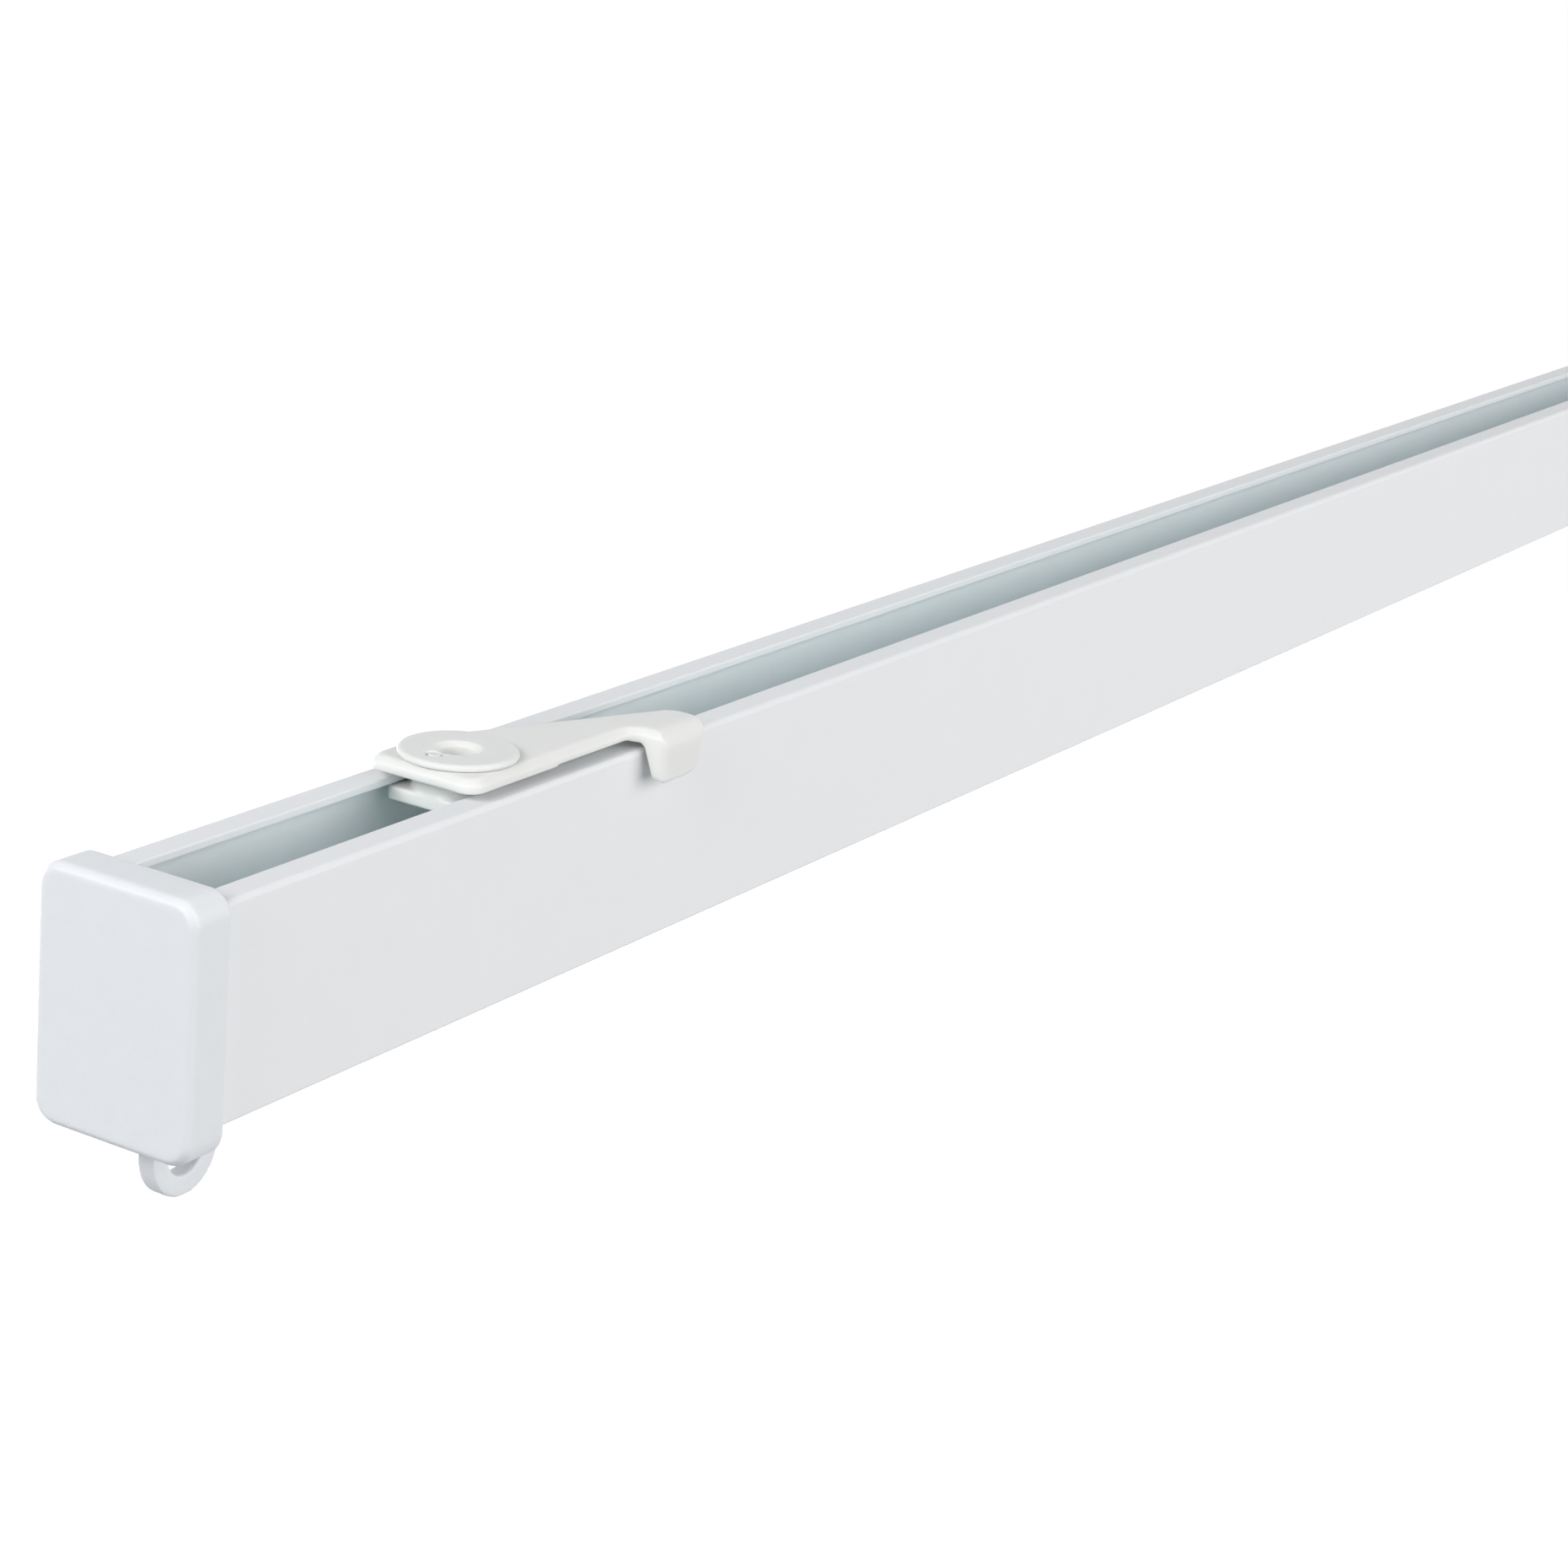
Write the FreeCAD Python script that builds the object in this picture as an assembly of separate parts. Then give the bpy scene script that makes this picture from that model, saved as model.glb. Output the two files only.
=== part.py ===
import FreeCAD, Part
import math
import os

Vector = FreeCAD.Vector

# Ceiling curtain track, in millimetres. X runs along the rail, Z is up.
# The origin is on the rail's top plane, at mid-length, on the middle clip's screw axis.

# Rail: one extrusion, with a clip channel open to the ceiling and a glider channel open to the floor
rail_length = 1000.0
rail_width = 18.0
rail_height = 25.0
side_wall = 1.1
lip_thickness = 1.0
web_thickness = 1.1
clip_channel_height = 9.0
clip_slot_width = 10.6
glider_slot_width = 6.0
top_edge_round = 0.7
bottom_edge_round = 0.4
lip_edge_round = 0.2

# End cap: a moulded cover that slips over the rail's end, with a plug in each channel
cap_fit = 0.05
cap_overlap = 4.2
cap_front_wall = 1.6
cap_side_wall = 1.55
cap_top_wall = 1.65
cap_bottom_wall = 2.5
cap_corner_round = 2.8
cap_front_bevel = 0.7
plug_fit = 0.1
plug_wall = 1.4
plug_corner_bevel = 0.6
upper_plug_drop = 2.0
upper_plug_reach = 3.5
lower_plug_margin = 1.5

# Eye that a curtain hook goes through: a round-ended tab through the glider slot, the same on caps and gliders
eye_radius = 5.2
eye_hole_radius = 2.8
eye_thickness = 2.3
eye_drop = 6.3
cap_eye_setback = 5.5

# Glider: a moulded runner that rides on the bottom lips
glider_count = 11
glider_pitch = 42.0
glider_park_inset = 47.0
glider_side_gap = 0.4
glider_ride_gap = 0.2
runner_length = 12.0
runner_height = 4.6
runner_toe_rise = 1.3
runner_toe_length = 2.4
runner_corner_bevel = 1.8

# Ceiling clip, shared heights: the plate stands over the lips, the foot hangs under them
clip_inset = 56.2
plate_stand = 0.9
foot_gap = 0.25
foot_thickness = 1.65
plate_thickness = 1.8
pivot_clearance = 0.05

# Clip lever: plate, tapering arm and finger tab over the rail, neck and twist-lock foot inside it
plate_back_reach = 7.35
plate_half_width = 7.7
plate_corner_round = 2.2
blade_edge_bevel = 0.8
shoulder_reach = 3.2
shoulder_round = 9.0
arm_length = 35.1
arm_step_reach = 9.3
arm_step_height = 0.25
arm_end_back = 6.2
arm_end_round = 3.0
tab_length = 10.5
tab_reach = 3.3
tab_head_thickness = 3.1
tab_toe_thickness = 1.4
tab_drop = 3.7
tab_bend_round = 2.2
tab_inner_round = 0.9
tab_root_round = 2.0
tab_hollow_round = 1.2
tab_ridge_round = 1.2
tab_corner_round = 6.0
tab_toe_round = 1.2
tab_edge_round = 0.55
neck_slot_clearance = 0.2
foot_channel_clearance = 0.2
foot_slot_clearance = 0.15

# Clip bush: the disc that is screwed to the ceiling and the sleeve that the lever turns on
disc_radius = 7.05
disc_thickness = 0.75
disc_edge_bevel = 0.3
screw_hole_radius = 2.25
screw_hole_mouth = 0.6
sleeve_radius = 3.6
gate_reach = 3.85
gate_offset = 0.5
gate_dimple_radius = 1.15
gate_dimple_depth = 0.35
gate_stub_radius = 0.75
gate_stub_height = 0.3

# Places worked out from the sizes above
rail_half_width = rail_width / 2
channel_half_width = rail_half_width - side_wall
clip_slot_half = clip_slot_width / 2
glider_slot_half = glider_slot_width / 2
web_top = -lip_thickness - clip_channel_height
web_bottom = web_top - web_thickness
glider_floor = -rail_height + lip_thickness
cap_back_x = rail_length / 2 - cap_overlap
eye_z = -rail_height - eye_drop
plate_bottom = plate_stand
plate_top = plate_bottom + plate_thickness
foot_top = -lip_thickness - foot_gap
foot_bottom = foot_top - foot_thickness


def on_xy(u, v):
    return Vector(u, v, 0)


def on_xz(u, v):
    return Vector(u, 0, v)


def on_yz(u, v):
    return Vector(0, u, v)


def outline(corners, plane):
    """Closed face through the corners (u, v, radius), each corner turned with its own radius."""
    spans = []
    for index, (u, v, radius) in enumerate(corners):
        corner = Vector(u, v, 0)
        before = corners[index - 1]
        after = corners[(index + 1) % len(corners)]
        back = (Vector(before[0], before[1], 0) - corner).normalize()
        ahead = (Vector(after[0], after[1], 0) - corner).normalize()
        if radius == 0:
            spans.append((corner, corner, corner))
            continue
        half_angle = back.getAngle(ahead) / 2
        reach = radius / math.tan(half_angle)
        inward = (back + ahead).normalize()
        middle = corner + inward * (radius / math.sin(half_angle) - radius)
        spans.append((corner + back * reach, middle, corner + ahead * reach))
    edges = []
    for index, (start, middle, end) in enumerate(spans):
        arc = [plane(point.x, point.y) for point in (start, middle, end)]
        following = spans[(index + 1) % len(spans)][0]
        if corners[index][2] > 0:
            edges.append(Part.Arc(*arc).toShape())
        if end.distanceToPoint(following) > 1e-6:
            edges.append(Part.LineSegment(arc[2], plane(following.x, following.y)).toShape())
    return Part.Face(Part.Wire(edges))


def rectangle(low_u, low_v, high_u, high_v, radius, plane):
    corners = [(low_u, low_v, radius), (high_u, low_v, radius), (high_u, high_v, radius), (low_u, high_v, radius)]
    return outline(corners, plane)


def bevelled(low_u, low_v, high_u, high_v, bevel, plane):
    """Rectangle with its four corners cut off at 45 degrees."""
    corners = [
        (low_u + bevel, low_v, 0),
        (high_u - bevel, low_v, 0),
        (high_u, low_v + bevel, 0),
        (high_u, high_v - bevel, 0),
        (high_u - bevel, high_v, 0),
        (low_u + bevel, high_v, 0),
        (low_u, high_v - bevel, 0),
        (low_u, low_v + bevel, 0),
    ]
    return outline(corners, plane)


def along_x(face, low, high):
    return face.translated(Vector(low, 0, 0)).extrude(Vector(high - low, 0, 0))


def along_y(face, low, high):
    return face.translated(Vector(0, low, 0)).extrude(Vector(0, high - low, 0))


def along_z(face, low, high):
    return face.translated(Vector(0, 0, low)).extrude(Vector(0, 0, high - low))


def upright(radius, low, high):
    return Part.makeCylinder(radius, high - low, Vector(0, 0, low))


def block(low, high):
    return Part.makeBox(high.x - low.x, high.y - low.y, high.z - low.z, low)


def edges_at(shape, axis, value):
    """Edges that lie wholly in the plane axis = value."""
    found = []
    for edge in shape.Edges:
        points = edge.discretize(3)
        if all(abs(getattr(point, axis) - value) < 1e-6 for point in points):
            found.append(edge)
    return found


def rail():
    """Constant section: two side walls, a web between the channels and four inturned lips."""
    right_half = [
        (clip_slot_half, -lip_thickness, lip_edge_round),
        (clip_slot_half, 0, lip_edge_round),
        (rail_half_width, 0, top_edge_round),
        (rail_half_width, -rail_height, bottom_edge_round),
        (glider_slot_half, -rail_height, lip_edge_round),
        (glider_slot_half, glider_floor, lip_edge_round),
        (channel_half_width, glider_floor, 0),
        (channel_half_width, web_bottom, 0),
    ]
    clip_channel = [
        (channel_half_width, web_top, 0),
        (channel_half_width, -lip_thickness, 0),
    ]
    left_half = [(-y, z, radius) for y, z, radius in reversed(right_half)]
    clip_channel_left = [(-y, z, radius) for y, z, radius in reversed(clip_channel)]
    section = outline(right_half + left_half + clip_channel_left + clip_channel, on_yz)
    return along_x(section, -rail_length / 2, rail_length / 2)


def eye_tab(x, top):
    """Flat tab down through the glider slot, round at its foot, with the hook hole across the rail."""
    foot = eye_z - eye_radius
    side_view = [
        (x - eye_radius, foot, eye_radius),
        (x + eye_radius, foot, eye_radius),
        (x + eye_radius, top, 0),
        (x - eye_radius, top, 0),
    ]
    face_y = -eye_thickness / 2
    hole = Part.makeCylinder(eye_hole_radius, eye_thickness, Vector(x, face_y, eye_z), Vector(0, 1, 0))
    return along_y(outline(side_view, on_xz), face_y, -face_y).cut(hole)


def end_cap():
    """Cap for the near end, with x = 0 at its back edge and its front face towards -X."""
    front_x = -cap_overlap - cap_fit - cap_front_wall
    seat_x = front_x + cap_front_wall
    outer_half = rail_half_width + cap_fit + cap_side_wall
    outer_top = cap_fit + cap_top_wall
    outer_bottom = -rail_height - cap_fit - cap_bottom_wall
    outer = rectangle(-outer_half, outer_bottom, outer_half, outer_top, cap_corner_round, on_yz)
    cover = along_x(outer, front_x, 0)
    cover = cover.makeChamfer(cap_front_bevel, edges_at(cover, "x", front_x))

    seat_half = rail_half_width + cap_fit
    seat = block(Vector(seat_x, -seat_half, -rail_height - cap_fit), Vector(cap_overlap, seat_half, cap_fit))
    cover = cover.cut(seat)

    root_x = seat_x - cap_front_wall / 2
    plug_half = channel_half_width - plug_fit
    upper_roof = -lip_thickness - upper_plug_drop
    upper = bevelled(-plug_half, web_top + plug_fit, plug_half, upper_roof, plug_corner_bevel, on_yz)
    upper_plug = along_x(upper, root_x, upper_plug_reach)

    lower_floor = glider_floor + plug_fit
    lower_roof = web_bottom - plug_fit
    lower_end = cap_eye_setback + eye_radius + lower_plug_margin
    lower = bevelled(-plug_half, lower_floor, plug_half, lower_roof, plug_corner_bevel, on_yz)
    lower_plug = along_x(lower, root_x, lower_end)
    core_half = plug_half - plug_wall
    core_low = Vector(seat_x, -core_half, lower_floor + plug_wall)
    core_high = Vector(lower_end, core_half, lower_roof - plug_wall)
    lower_plug = lower_plug.cut(block(core_low, core_high))

    eye = eye_tab(cap_eye_setback, lower_floor + plug_wall / 2)
    return cover.fuse([upper_plug, lower_plug, eye]).removeSplitter()


def glider():
    """Runner with upturned toes, so that it rides over joints, carrying the eye at x = 0."""
    half_length = runner_length / 2
    half_width = channel_half_width - glider_side_gap
    sole = glider_floor + glider_ride_gap
    crown = sole + runner_height
    side_view = [
        (-half_length + runner_toe_length, sole, 0),
        (half_length - runner_toe_length, sole, 0),
        (half_length, sole + runner_toe_rise, 0),
        (half_length, crown, 0),
        (-half_length, crown, 0),
        (-half_length, sole + runner_toe_rise, 0),
    ]
    runner = along_y(outline(side_view, on_xz), -half_width, half_width)
    plan = bevelled(-half_length, -half_width, half_length, half_width, runner_corner_bevel, on_xy)
    runner = runner.common(along_z(plan, sole, crown))
    return runner.fuse(eye_tab(0, sole + runner_toe_rise)).removeSplitter()


def clip_blade():
    """Flat part of the lever: where its plan, its cross-section and its side view all agree."""
    tab_root = arm_length - tab_length
    tab_outside = -rail_half_width - tab_reach
    tab_bottom = plate_bottom - plate_stand - tab_drop
    arm_bottom = plate_bottom + arm_step_height
    margin = plate_thickness
    plan = [
        (-plate_back_reach, -plate_half_width, plate_corner_round),
        (tab_root, -plate_half_width, tab_root_round),
        (tab_root, tab_outside, tab_ridge_round),
        (arm_length, tab_outside, arm_end_round),
        (arm_length, -arm_end_back, arm_end_round),
        (shoulder_reach, plate_half_width, shoulder_round),
        (-plate_back_reach, plate_half_width, plate_corner_round),
    ]
    cross_section = [
        (plate_half_width + margin, plate_bottom, 0),
        (plate_half_width + margin, plate_top, 0),
        (tab_outside, plate_top, tab_bend_round),
        (tab_outside, tab_bottom, tab_edge_round),
        (tab_outside + tab_toe_thickness, tab_bottom, tab_edge_round),
        (tab_outside + tab_head_thickness, plate_bottom, tab_inner_round),
    ]
    side_view = [
        (-plate_back_reach - margin, plate_bottom, 0),
        (arm_step_reach, plate_bottom, 0),
        (arm_step_reach, arm_bottom, 0),
        (tab_root, arm_bottom, tab_hollow_round),
        (tab_root, tab_bottom, tab_toe_round),
        (arm_length, tab_bottom, tab_corner_round),
        (arm_length, plate_top + margin, 0),
        (-plate_back_reach - margin, plate_top + margin, 0),
    ]
    blade = along_z(outline(plan, on_xy), tab_bottom, plate_top)
    blade = blade.makeChamfer(blade_edge_bevel, edges_at(blade, "z", plate_top))
    blade = blade.common(along_x(outline(cross_section, on_yz), -plate_back_reach - margin, arm_length + margin))
    return blade.common(along_y(outline(side_view, on_xz), tab_outside - margin, plate_half_width + margin))


def clip_lever():
    """Lever about its pivot axis at x = y = 0: a quarter turn lines its foot up with the clip slot."""
    neck = upright(clip_slot_half - neck_slot_clearance, foot_bottom, plate_bottom + plate_thickness / 2)
    foot_radius = channel_half_width - foot_channel_clearance
    foot_half_width = clip_slot_half - foot_slot_clearance
    foot = upright(foot_radius, foot_bottom, foot_top).common(
        block(Vector(-foot_half_width, -foot_radius, foot_bottom), Vector(foot_half_width, foot_radius, foot_top))
    )
    bore = upright(sleeve_radius + pivot_clearance, foot_bottom, plate_top)
    return clip_blade().fuse([neck, foot]).cut(bore).removeSplitter()


def clip_bush():
    """Disc and sleeve about x = y = 0: the screw clamps it and leaves the lever free. The gate mark is on top."""
    disc_bottom = plate_top + pivot_clearance
    disc_top = disc_bottom + disc_thickness
    bottom = foot_bottom - pivot_clearance
    half_section = [
        (screw_hole_radius, bottom, 0),
        (sleeve_radius, bottom, 0),
        (sleeve_radius, disc_bottom, 0),
        (disc_radius, disc_bottom, 0),
        (disc_radius, disc_top - disc_edge_bevel, 0),
        (disc_radius - disc_edge_bevel, disc_top, 0),
        (screw_hole_radius + screw_hole_mouth, disc_top, 0),
        (screw_hole_radius, disc_top - screw_hole_mouth, 0),
    ]
    bush = outline(half_section, on_xz).revolve(Vector(0, 0, 0), Vector(0, 0, 1), 360)
    gate = Vector(-gate_reach, gate_offset, 0)
    dimple = upright(gate_dimple_radius, disc_top - gate_dimple_depth, disc_top).translated(gate)
    stub_foot = disc_top - gate_dimple_depth
    stub = upright(gate_stub_radius, stub_foot - gate_dimple_depth, stub_foot + gate_stub_height).translated(gate)
    return bush.cut(dimple).fuse(stub)


def save(name, shape):
    shape.exportStep("parts/" + name + ".step")


os.makedirs("parts", exist_ok=True)
save("rail", rail())

near_cap = end_cap().translated(Vector(-cap_back_x, 0, 0))
far_cap = near_cap.copy()
far_cap.rotate(Vector(0, 0, 0), Vector(0, 0, 1), 180)
save("end_cap_near", near_cap)
save("end_cap_far", far_cap)

clip_reach = rail_length / 2 - clip_inset
for number, x in enumerate((-clip_reach, 0, clip_reach), start=1):
    save(f"clip_lever_{number}", clip_lever().translated(Vector(x, 0, 0)))
    save(f"clip_bush_{number}", clip_bush().translated(Vector(x, 0, 0)))

last_glider_x = cap_back_x - glider_park_inset
for number in range(1, glider_count + 1):
    x = last_glider_x - (glider_count - number) * glider_pitch
    save(f"glider_{number:02d}", glider().translated(Vector(x, 0, 0)))
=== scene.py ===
import math

import bmesh
import bpy
from mathutils import Matrix, Vector


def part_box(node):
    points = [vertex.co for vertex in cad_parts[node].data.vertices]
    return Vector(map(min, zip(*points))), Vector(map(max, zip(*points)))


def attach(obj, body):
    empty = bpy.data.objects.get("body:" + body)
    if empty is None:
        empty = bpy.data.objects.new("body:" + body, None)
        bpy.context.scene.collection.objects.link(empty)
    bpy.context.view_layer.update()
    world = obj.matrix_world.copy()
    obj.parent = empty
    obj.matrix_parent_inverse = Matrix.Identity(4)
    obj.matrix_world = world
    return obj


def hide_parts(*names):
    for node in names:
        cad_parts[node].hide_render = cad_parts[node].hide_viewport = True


bpy.context.scene.view_settings.view_transform = "Standard"
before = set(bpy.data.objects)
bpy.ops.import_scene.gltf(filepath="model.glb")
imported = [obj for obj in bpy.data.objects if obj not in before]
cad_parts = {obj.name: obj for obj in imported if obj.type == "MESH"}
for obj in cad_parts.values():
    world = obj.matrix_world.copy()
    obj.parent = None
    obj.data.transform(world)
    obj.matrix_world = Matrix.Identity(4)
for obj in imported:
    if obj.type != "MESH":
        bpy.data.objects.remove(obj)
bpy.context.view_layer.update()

# The rail is one aluminium extrusion, white powder coated, sawn square at both ends.
# A clip channel opens to the ceiling and a glider channel to the floor, with a web between them.
# Its edges are rounded as the die leaves them. The faces inside the channels are coloured darker and teal,
# a painted shade for the dim, bluish light in there.
mm = 0.001
rail_low, rail_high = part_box("rail")
rail_half_width = rail_high.y
rail_floor = rail_low.z
side_wall = 1.1 * mm
lip_thickness = 1.0 * mm
web_thickness = 1.1 * mm
clip_channel_height = 9.0 * mm
clip_slot_half = 5.3 * mm
glider_slot_half = 3.0 * mm
top_edge_round = 0.7 * mm
bottom_edge_round = 0.4 * mm
lip_edge_round = 0.2 * mm
channel_corner_round = 0.3 * mm
channel_half = rail_half_width - side_wall
web_top = -lip_thickness - clip_channel_height
web_bottom = web_top - web_thickness
bottom_lip_top = rail_floor + lip_thickness
arc_steps = 8
rail_sharp_angle = 40


def rounded(corners):
    """Points of a closed outline through corners (u, v, radius), each turned with its own radius."""
    points = []
    for index, (u, v, radius) in enumerate(corners):
        corner = Vector((u, v))
        back = (Vector(corners[index - 1][:2]) - corner).normalized()
        ahead = (Vector(corners[(index + 1) % len(corners)][:2]) - corner).normalized()
        half_angle = back.angle(ahead) / 2
        centre = corner + (back + ahead).normalized() * (radius / math.sin(half_angle))
        start = corner + back * (radius / math.tan(half_angle)) - centre
        sweep = start.angle_signed(corner + ahead * (radius / math.tan(half_angle)) - centre)
        for step in range(arc_steps + 1):
            points.append(centre + Matrix.Rotation(-sweep * step / arc_steps, 2) @ start)
    return points


def shown(name, shape, sharp_angle):
    """Scene object from a bmesh, smooth but for edges sharper than sharp_angle degrees."""
    bmesh.ops.recalc_face_normals(shape, faces=shape.faces)
    mesh = bpy.data.meshes.new(name)
    shape.to_mesh(mesh)
    shape.free()
    if "custom_normal" in mesh.attributes:
        mesh.attributes.remove(mesh.attributes["custom_normal"])
    mesh.shade_smooth()
    mesh.set_sharp_from_angle(angle=math.radians(sharp_angle))
    piece = bpy.data.objects.new(name, mesh)
    bpy.context.scene.collection.objects.link(piece)
    return piece


def keep_flats(piece):
    """Shades the piece's flat faces as flat, right up to their rounded edges."""
    weighted = piece.modifiers.new("flat faces stay flat", "WEIGHTED_NORMAL")
    weighted.keep_sharp = True


half_section = [
    (clip_slot_half, -lip_thickness, lip_edge_round),
    (clip_slot_half, 0, lip_edge_round),
    (rail_half_width, 0, top_edge_round),
    (rail_half_width, rail_floor, bottom_edge_round),
    (glider_slot_half, rail_floor, lip_edge_round),
    (glider_slot_half, bottom_lip_top, lip_edge_round),
    (channel_half, bottom_lip_top, channel_corner_round),
    (channel_half, web_bottom, channel_corner_round),
]
clip_channel = [
    (channel_half, web_top, channel_corner_round),
    (channel_half, -lip_thickness, channel_corner_round),
]
section = half_section + [(-y, z, r) for y, z, r in reversed(half_section)]
section += [(-y, z, r) for y, z, r in reversed(clip_channel)] + clip_channel
section = rounded(section)

shape = bmesh.new()
near_end = [shape.verts.new((rail_low.x, y, z)) for y, z in section]
far_end = [shape.verts.new((rail_high.x, y, z)) for y, z in section]
shape.faces.new(near_end)
shape.faces.new(far_end)
for index in range(len(section)):
    shape.faces.new((near_end[index - 1], near_end[index], far_end[index], far_end[index - 1]))
# Faces running along inside the channels take the second material, which is painted shade: darker and teal.
for face in shape.faces:
    middle = face.calc_center_median()
    runs_along = len(face.verts) == 4
    in_channel = bottom_lip_top <= middle.z <= -lip_thickness and abs(middle.y) <= channel_half
    face.material_index = int(runs_along and in_channel)
rail_piece = shown("rail_extrusion", shape, rail_sharp_angle)
keep_flats(rail_piece)


def moulded_grain():
    """Shader group: a fine surface grain with a faint mottle of two colours and of roughness."""
    group = bpy.data.node_groups.new("moulded grain", "ShaderNodeTree")
    for name, kind in (
        ("Colour", "NodeSocketColor"), ("Mottle Colour", "NodeSocketColor"),
        ("Mottle Size", "NodeSocketFloat"), ("Grain Size", "NodeSocketFloat"),
        ("Smoothest", "NodeSocketFloat"), ("Roughest", "NodeSocketFloat"),
    ):
        group.interface.new_socket(name, in_out="INPUT", socket_type=kind)
    for name, kind in (
        ("Colour", "NodeSocketColor"), ("Roughness", "NodeSocketFloat"), ("Height", "NodeSocketFloat"),
    ):
        group.interface.new_socket(name, in_out="OUTPUT", socket_type=kind)
    given = group.nodes.new("NodeGroupInput")
    result = group.nodes.new("NodeGroupOutput")
    place = group.nodes.new("ShaderNodeTexCoord")
    mottle = group.nodes.new("ShaderNodeTexNoise")
    mottle.inputs["Detail"].default_value = 4
    grain = group.nodes.new("ShaderNodeTexNoise")
    grain.inputs["Detail"].default_value = 3
    for noise, size in ((mottle, "Mottle Size"), (grain, "Grain Size")):
        inverse = group.nodes.new("ShaderNodeMath")
        inverse.operation = "DIVIDE"
        inverse.inputs[0].default_value = 1
        group.links.new(given.outputs[size], inverse.inputs[1])
        group.links.new(inverse.outputs[0], noise.inputs["Scale"])
        group.links.new(place.outputs["Object"], noise.inputs["Vector"])
    tint = group.nodes.new("ShaderNodeMix")
    tint.data_type = "RGBA"
    group.links.new(mottle.outputs["Fac"], tint.inputs["Factor"])
    group.links.new(given.outputs["Colour"], tint.inputs["A"])
    group.links.new(given.outputs["Mottle Colour"], tint.inputs["B"])
    group.links.new(tint.outputs["Result"], result.inputs["Colour"])
    spread = group.nodes.new("ShaderNodeMapRange")
    group.links.new(grain.outputs["Fac"], spread.inputs["Value"])
    group.links.new(given.outputs["Smoothest"], spread.inputs["To Min"])
    group.links.new(given.outputs["Roughest"], spread.inputs["To Max"])
    group.links.new(spread.outputs["Result"], result.inputs["Roughness"])
    group.links.new(grain.outputs["Fac"], result.inputs["Height"])
    return group


grain_group = moulded_grain()


def grained(
    name, colour, mottle_colour, mottle_size, grain_size, smoothest, roughest, relief, translucent=0
):
    """White finish with the shared grain, relief deep; translucent is the share of light let into it."""
    material = bpy.data.materials.new(name)
    material.use_nodes = True
    nodes, links = material.node_tree.nodes, material.node_tree.links
    shader = nodes["Principled BSDF"]
    grain = nodes.new("ShaderNodeGroup")
    grain.node_tree = grain_group
    for socket, value in (
        ("Colour", (*colour, 1)), ("Mottle Colour", (*mottle_colour, 1)), ("Mottle Size", mottle_size),
        ("Grain Size", grain_size), ("Smoothest", smoothest), ("Roughest", roughest),
    ):
        grain.inputs[socket].default_value = value
    bump = nodes.new("ShaderNodeBump")
    bump.inputs["Distance"].default_value = relief
    links.new(grain.outputs["Colour"], shader.inputs["Base Color"])
    links.new(grain.outputs["Roughness"], shader.inputs["Roughness"])
    links.new(grain.outputs["Height"], bump.inputs["Height"])
    links.new(bump.outputs["Normal"], shader.inputs["Normal"])
    shader.inputs["Specular IOR Level"].default_value = 0.35
    shader.inputs["Subsurface Weight"].default_value = translucent
    shader.inputs["Subsurface Radius"].default_value = (1.0, 0.95, 0.9)
    shader.inputs["Subsurface Scale"].default_value = 1.2 * mm
    return material


powder_coat = grained(
    "white powder coat", colour=(0.85, 0.86, 0.87), mottle_colour=(0.83, 0.84, 0.85), mottle_size=6 * mm,
    grain_size=0.35 * mm, smoothest=0.38, roughest=0.50, relief=0.010 * mm,
)
# Painted shade: the channel faces are coloured darker and teal for the dim, bluish light inside the
# channels.
channel_painted_shade = grained(
    "painted shade in the channels", colour=(0.73, 0.92, 0.93), mottle_colour=(0.70, 0.89, 0.90),
    mottle_size=6 * mm, grain_size=0.35 * mm, smoothest=0.38, roughest=0.50, relief=0.010 * mm,
)
rail_piece.data.materials.append(powder_coat)
rail_piece.data.materials.append(channel_painted_shade)
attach(rail_piece, "rail")
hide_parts("rail")


# The end caps are injection moulded in cool white plastic and push over the rail's sawn ends.
# Their front edges are well rounded, and the mould's texture gives the front face a fine grain.
# A round-ended tab with the hook eye hangs through the glider slot behind each cap.
weld_distance = 0.0005 * mm
mould_sharp_angle = 50


def skinned(node, skin_step, softening):
    """Copy of a CAD piece under an even skin of skin_step, its edges softened as they leave the mould."""
    shape = bmesh.new()
    shape.from_mesh(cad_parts[node].data)
    bmesh.ops.remove_doubles(shape, verts=shape.verts, dist=weld_distance)
    piece = shown(node + "_moulding", shape, mould_sharp_angle)
    skin = piece.modifiers.new("even skin", "REMESH")
    skin.mode = "VOXEL"
    skin.voxel_size = skin_step
    skin.use_smooth_shade = True
    soften = piece.modifiers.new("mould radii", "SMOOTH")
    soften.factor = 0.5
    soften.iterations = softening
    return piece


cap_plastic = grained(
    "cool white moulded plastic", colour=(0.815, 0.83, 0.85), mottle_colour=(0.79, 0.807, 0.825),
    mottle_size=2.5 * mm, grain_size=0.22 * mm, smoothest=0.34, roughest=0.48, relief=0.017 * mm,
    translucent=0.25,
)
for side in ("near", "far"):
    cap_piece = skinned("end_cap_" + side, skin_step=0.22 * mm, softening=12)
    cap_piece.data.materials.append(cap_plastic)
    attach(cap_piece, "rail")
    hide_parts("end_cap_" + side)


# Each ceiling clip's lever is one warm white moulding: a plate and arm over the lips, a finger tab at the
# arm's end, and a twist-lock foot on a round neck inside the channel. It turns on the bush's sleeve.
# Fine seams run round it where the halves of the mould met.
seam_levels = (2.0 * mm, 0.65 * mm)
seam_width = 0.07 * mm
seam_depth = 0.012 * mm
clip_plastic = grained(
    "warm white moulded plastic", colour=(0.83, 0.833, 0.81), mottle_colour=(0.81, 0.813, 0.79),
    mottle_size=3 * mm, grain_size=0.18 * mm, smoothest=0.34, roughest=0.46, relief=0.006 * mm,
    translucent=0.6,
)


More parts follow.
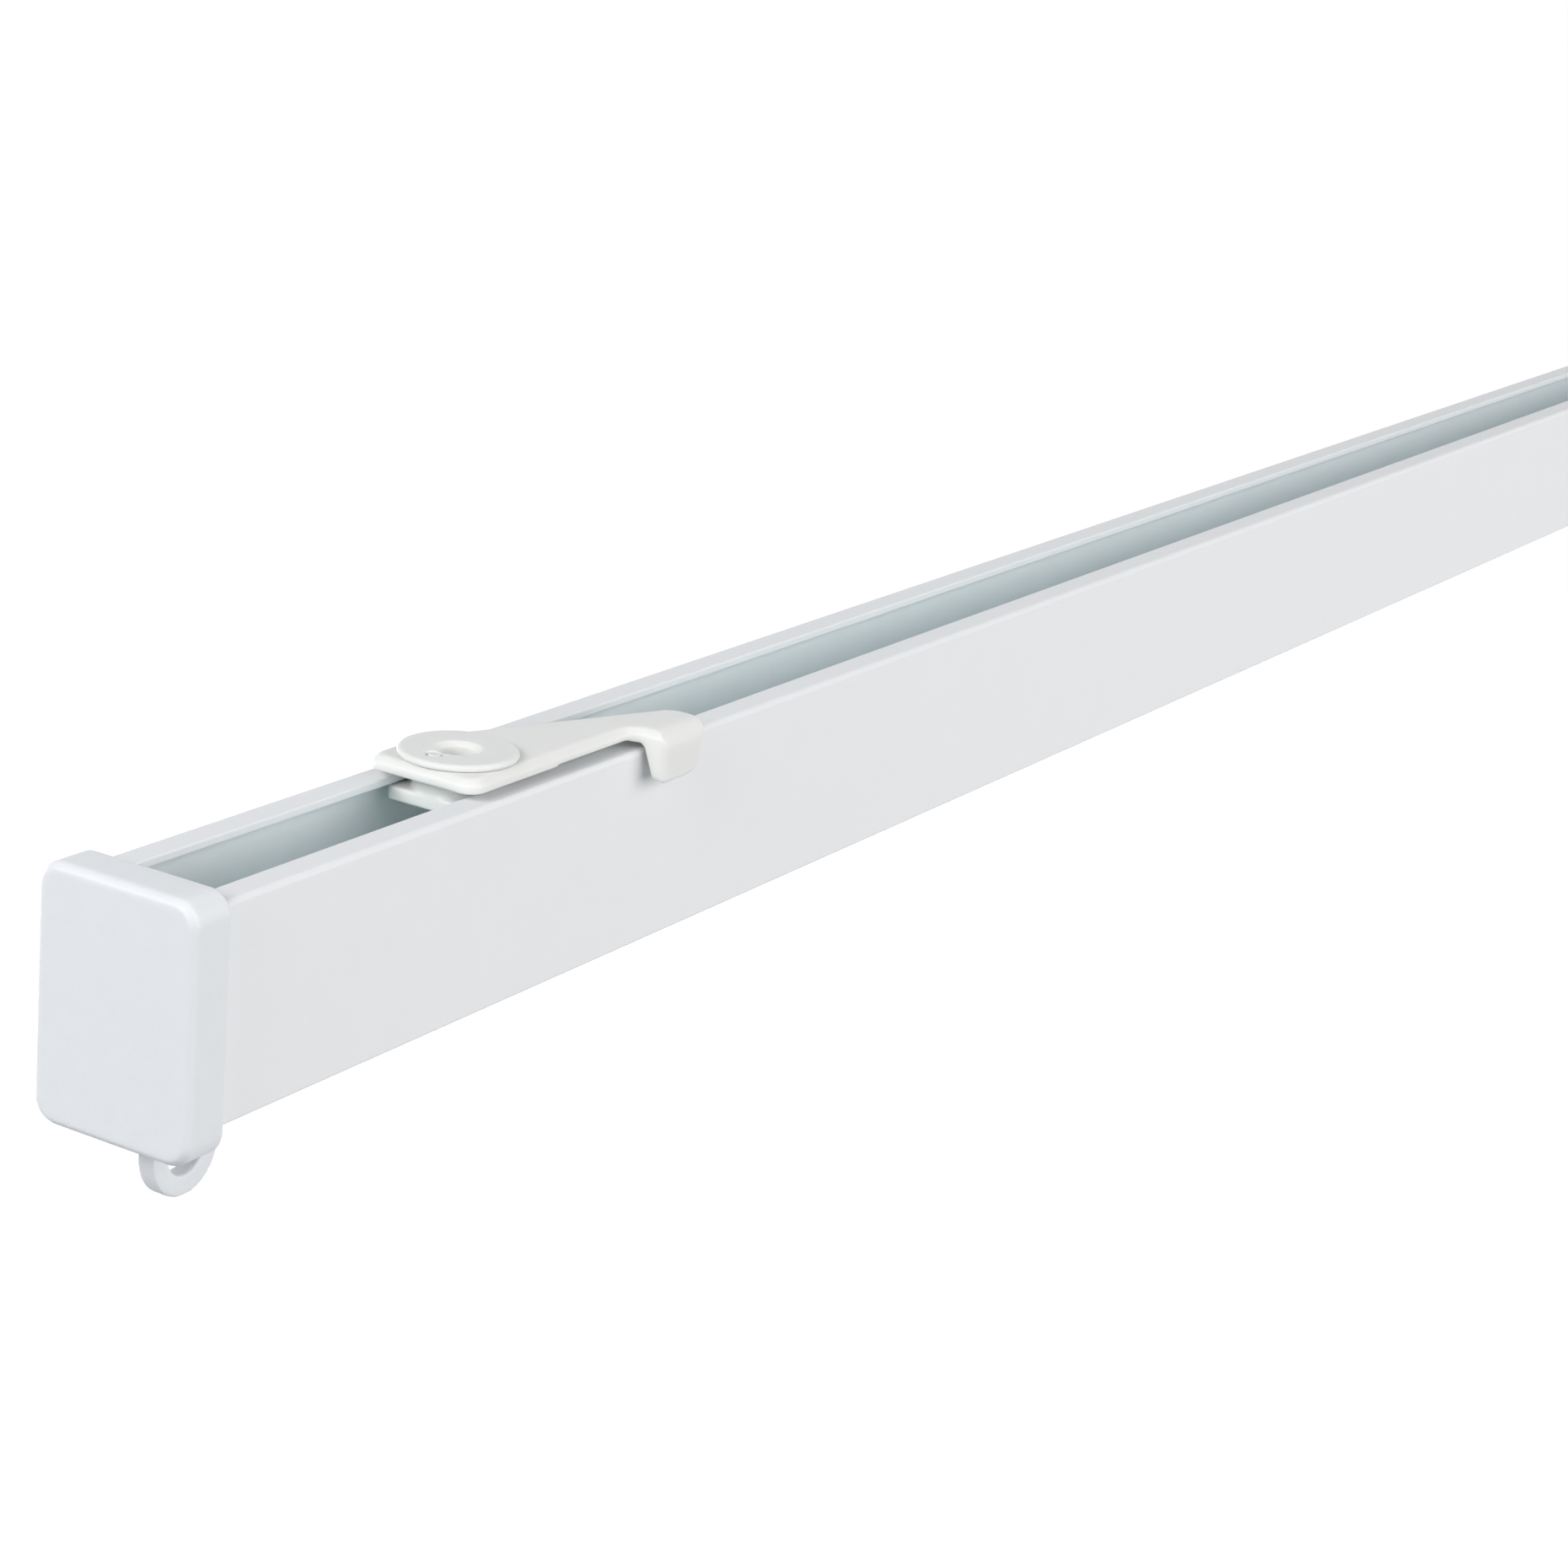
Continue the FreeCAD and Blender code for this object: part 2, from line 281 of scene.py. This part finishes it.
def mould_seam():
    """Shader group: height of a fine groove all round the piece at one level."""
    group = bpy.data.node_groups.new("mould seam", "ShaderNodeTree")
    group.interface.new_socket("Level", in_out="INPUT", socket_type="NodeSocketFloat")
    group.interface.new_socket("Width", in_out="INPUT", socket_type="NodeSocketFloat")
    group.interface.new_socket("Height", in_out="OUTPUT", socket_type="NodeSocketFloat")
    given = group.nodes.new("NodeGroupInput")
    result = group.nodes.new("NodeGroupOutput")
    place = group.nodes.new("ShaderNodeTexCoord")
    split = group.nodes.new("ShaderNodeSeparateXYZ")
    group.links.new(place.outputs["Object"], split.inputs["Vector"])
    value = split.outputs["Z"]
    for operation, other in (
        ("SUBTRACT", "Level"), ("ABSOLUTE", None), ("DIVIDE", "Width"), ("MINIMUM", None),
    ):
        step = group.nodes.new("ShaderNodeMath")
        step.operation = operation
        step.inputs[1].default_value = 1
        group.links.new(value, step.inputs[0])
        if other:
            group.links.new(given.outputs[other], step.inputs[1])
        value = step.outputs[0]
    group.links.new(value, result.inputs["Height"])
    return group


seam_group = mould_seam()
lever_plastic = clip_plastic.copy()
lever_plastic.name = "warm white moulded plastic with seams"
nodes, links = lever_plastic.node_tree.nodes, lever_plastic.node_tree.links
relief = nodes["Bump"].outputs["Normal"]
for level in seam_levels:
    seam = nodes.new("ShaderNodeGroup")
    seam.node_tree = seam_group
    seam.inputs["Level"].default_value = level
    seam.inputs["Width"].default_value = seam_width
    groove = nodes.new("ShaderNodeBump")
    groove.inputs["Distance"].default_value = seam_depth
    links.new(seam.outputs["Height"], groove.inputs["Height"])
    links.new(relief, groove.inputs["Normal"])
    relief = groove.outputs["Normal"]
links.new(relief, nodes["Principled BSDF"].inputs["Normal"])
for number in (1, 2, 3):
    lever_piece = skinned(f"clip_lever_{number}", skin_step=0.17 * mm, softening=10)
    lever_piece.data.materials.append(lever_plastic)
    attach(lever_piece, f"lever_{number}")
    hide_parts(f"clip_lever_{number}")


# The clip's bush is a moulded disc with a sleeve below it, screwed to the ceiling through its middle.
# Beside the screw hole is the dimple where the moulding was broken off its gate, with the torn stub in it.
gate_reach = 3.85 * mm
gate_offset = 0.5 * mm
gate_stub = 0.8 * mm
gate_depth = 0.7 * mm
flat_angle = 0.4
crisp_angle = 28
round_steps = 3


def moulded(node, edge_round):
    """Copy of a CAD piece with its crisp edges rounded off, as they come out of the mould."""
    shape = bmesh.new()
    shape.from_mesh(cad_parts[node].data)
    bmesh.ops.remove_doubles(shape, verts=shape.verts, dist=weld_distance)
    bmesh.ops.dissolve_limit(
        shape, angle_limit=math.radians(flat_angle), verts=shape.verts, edges=shape.edges,
        use_dissolve_boundaries=False,
    )
    joined = [edge for edge in shape.edges if edge.is_manifold]
    crisp = [edge for edge in joined if edge.calc_face_angle() > math.radians(crisp_angle)]
    bmesh.ops.bevel(
        shape, geom=crisp, offset=edge_round, offset_type="OFFSET", segments=round_steps, profile=0.5,
        affect="EDGES", clamp_overlap=False, loop_slide=True,
    )
    piece = shown(node + "_moulding", shape, mould_sharp_angle)
    keep_flats(piece)
    return piece


torn_plastic = grained(
    "torn gate plastic", colour=(0.93, 0.93, 0.92), mottle_colour=(0.80, 0.80, 0.79), mottle_size=0.3 * mm,
    grain_size=0.35 * mm, smoothest=0.25, roughest=0.5, relief=0.25 * mm, translucent=0.6,
)
for number in (1, 2, 3):
    bush_piece = moulded(f"clip_bush_{number}", edge_round=0.12 * mm)
    bush_piece.data.materials.append(clip_plastic)
    bush_piece.data.materials.append(torn_plastic)
    low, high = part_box(f"clip_bush_{number}")
    gate = Vector((low + high) / 2) + Vector((-gate_reach, gate_offset, 0))
    for face in bush_piece.data.polygons:
        on_stub = (face.center - gate).xy.length < gate_stub and face.center.z > high.z - gate_depth
        face.material_index = int(on_stub)
    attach(bush_piece, f"bush_{number}")
    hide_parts(f"clip_bush_{number}")


# The gliders are small white mouldings that ride on the bottom lips and carry the curtain's hooks.
# They are parked together at the far half of the rail.
glider_plastic = grained(
    "white glider plastic", colour=(0.82, 0.83, 0.835), mottle_colour=(0.80, 0.81, 0.815),
    mottle_size=3 * mm, grain_size=0.18 * mm, smoothest=0.34, roughest=0.46, relief=0.006 * mm,
    translucent=0.3,
)
for node in sorted(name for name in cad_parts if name.startswith("glider_")):
    glider_piece = moulded(node, edge_round=0.25 * mm)
    glider_piece.data.materials.append(glider_plastic)
    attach(glider_piece, node)
    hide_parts(node)


# The studio is a plain white floor well below the track, which hangs as it would from a ceiling, in a
# white surround. The floor shows from above only, so that the track can be seen from below too.
# A broad softbox lights the tab side, a smaller one the near end and a low fill the back.
floor_drop = 0.60
floor_reach = 20


def seen_directly(nodes, links):
    """Light path value that is 1 for rays that show a surface, straight, mirrored or through a gap."""
    rays = nodes.new("ShaderNodeLightPath")
    value = rays.outputs["Is Camera Ray"]
    for kind in ("Is Glossy Ray", "Is Transmission Ray"):
        either = nodes.new("ShaderNodeMath")
        either.operation = "MAXIMUM"
        links.new(value, either.inputs[0])
        links.new(rays.outputs[kind], either.inputs[1])
        value = either.outputs[0]
    return value


shape = bmesh.new()
bmesh.ops.create_grid(shape, x_segments=1, y_segments=1, size=floor_reach)
bmesh.ops.translate(shape, verts=shape.verts, vec=(0, 0, -floor_drop))
floor = shown("studio_floor", shape, rail_sharp_angle)
floor_paint = bpy.data.materials.new("white floor")
floor_paint.use_nodes = True
nodes, links = floor_paint.node_tree.nodes, floor_paint.node_tree.links
nodes.remove(nodes["Principled BSDF"])
matt = nodes.new("ShaderNodeBsdfDiffuse")
matt.inputs["Color"].default_value = (0.38, 0.40, 0.42, 1)
glow = nodes.new("ShaderNodeEmission")
glow.inputs["Strength"].default_value = 0.98
shadow = nodes.new("ShaderNodeBsdfDiffuse")
shadow.inputs["Color"].default_value = (0.12, 0.12, 0.12, 1)
white = nodes.new("ShaderNodeAddShader")
links.new(glow.outputs[0], white.inputs[0])
links.new(shadow.outputs[0], white.inputs[1])
blend = nodes.new("ShaderNodeMixShader")
links.new(seen_directly(nodes, links), blend.inputs["Fac"])
links.new(matt.outputs[0], blend.inputs[1])
links.new(white.outputs[0], blend.inputs[2])
sides = nodes.new("ShaderNodeNewGeometry")
clear = nodes.new("ShaderNodeBsdfTransparent")
one_sided = nodes.new("ShaderNodeMixShader")
links.new(sides.outputs["Backfacing"], one_sided.inputs["Fac"])
links.new(blend.outputs[0], one_sided.inputs[1])
links.new(clear.outputs[0], one_sided.inputs[2])
links.new(one_sided.outputs[0], nodes["Material Output"].inputs["Surface"])
floor.data.materials.append(floor_paint)

world = bpy.data.worlds.new("white surround")
world.use_nodes = True
nodes, links = world.node_tree.nodes, world.node_tree.links
ambient = nodes["Background"]
ambient.inputs["Color"].default_value = (0.84, 0.92, 1.0, 1)
ambient.inputs["Strength"].default_value = 0.24
paper = nodes.new("ShaderNodeBackground")
paper.inputs["Color"].default_value = (1, 1, 1, 1)
blend = nodes.new("ShaderNodeMixShader")
links.new(seen_directly(nodes, links), blend.inputs["Fac"])
links.new(ambient.outputs[0], blend.inputs[1])
links.new(paper.outputs[0], blend.inputs[2])
links.new(blend.outputs[0], nodes["World Output"].inputs["Surface"])
bpy.context.scene.world = world


def softbox(name, place, aim, width, height, tint, power):
    """Rectangular area light at place, facing aim."""
    light = bpy.data.lights.new(name, "AREA")
    light.shape = "RECTANGLE"
    light.size = width
    light.size_y = height
    light.color = tint
    light.energy = power
    lamp = bpy.data.objects.new(name, light)
    lamp.location = place
    lamp.rotation_euler = (Vector(aim) - Vector(place)).to_track_quat("-Z", "Y").to_euler()
    bpy.context.scene.collection.objects.link(lamp)


softbox(
    "tab side softbox", place=(-0.10, -1.5, 0.48), aim=(-0.10, 0, 0), width=2.4, height=1.2,
    tint=(1, 0.98, 0.965), power=24.2,
)
softbox(
    "near end softbox", place=(-1.65, 0.35, 0.78), aim=(-0.45, 0, 0), width=1.5, height=0.7,
    tint=(1, 0.99, 0.985), power=19.8,
)
softbox(
    "low fill behind", place=(0.20, 1.6, -0.25), aim=(0.20, 0, 0), width=2.4, height=0.5,
    tint=(1, 0.99, 0.985), power=9,
)


# The camera stands at the near end, a little above the rail and to its tab side.
# It looks along the rail, so that the near cap is large and the far half runs out of the picture.
camera_place = Vector((-0.762071, -0.228377, 0.124508))
forward = Vector((0.82516824, 0.4796896, -0.29832074))
right = Vector((0.5235671, -0.84772386, 0.08509842))
up = right.cross(forward)
camera_data = bpy.data.cameras.new("photo camera")
camera_data.sensor_fit = "HORIZONTAL"
camera_data.sensor_width = 36
camera_data.lens = 81.90
camera = bpy.data.objects.new("photo camera", camera_data)
turn = Matrix((right, up, -forward)).transposed().to_4x4()
camera.matrix_world = Matrix.Translation(camera_place) @ turn
bpy.context.scene.collection.objects.link(camera)
bpy.context.scene.camera = camera
